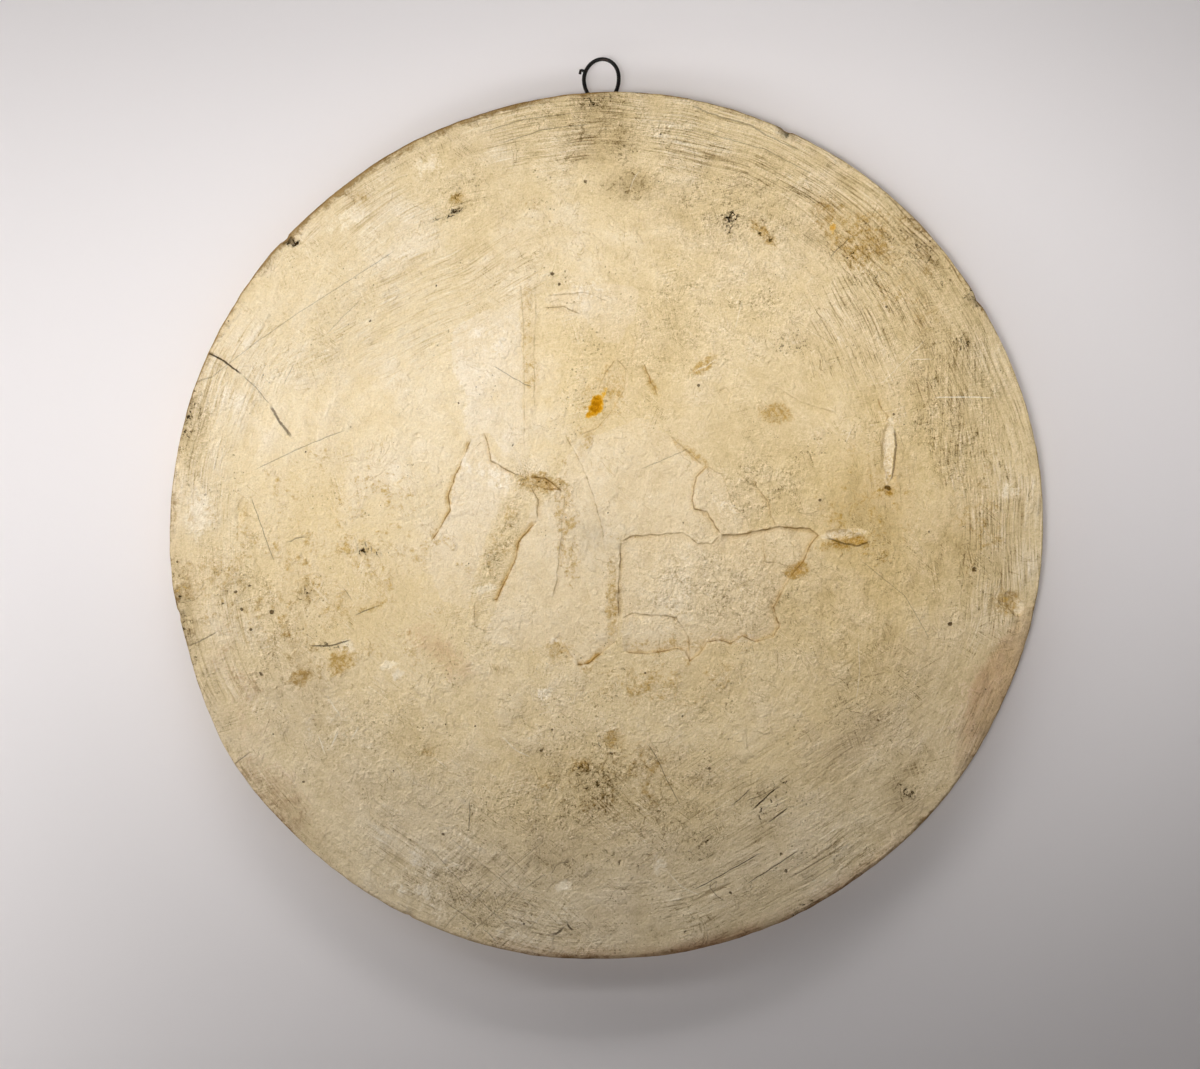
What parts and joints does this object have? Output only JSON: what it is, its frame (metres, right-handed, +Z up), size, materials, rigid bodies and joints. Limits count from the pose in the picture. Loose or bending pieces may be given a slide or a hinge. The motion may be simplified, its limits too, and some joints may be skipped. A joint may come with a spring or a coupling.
{
  "type": "plaster medallion",
  "caption": "Round plaster wall medallion with a moulded rim and rosette on its front, a flat hand-scraped back, and a wire hanging loop at its top edge.",
  "frame": {"origin": "inner top of the wire hanging loop, where the nail bears, on the wire's middle plane", "axes": "+Z up as the medallion hangs, -Y the way the flat back faces (towards the wall), +Y the way the moulded front faces"},
  "size_m": [0.261, 0.018, 0.2706],
  "materials": {
    "aged_plaster": "matte",
    "blackened_wire": "satin"
  },
  "bodies": {
    "root": {"cast_disc": "aged_plaster", "wire_loop": "blackened_wire"}
  },
  "joints": []
}
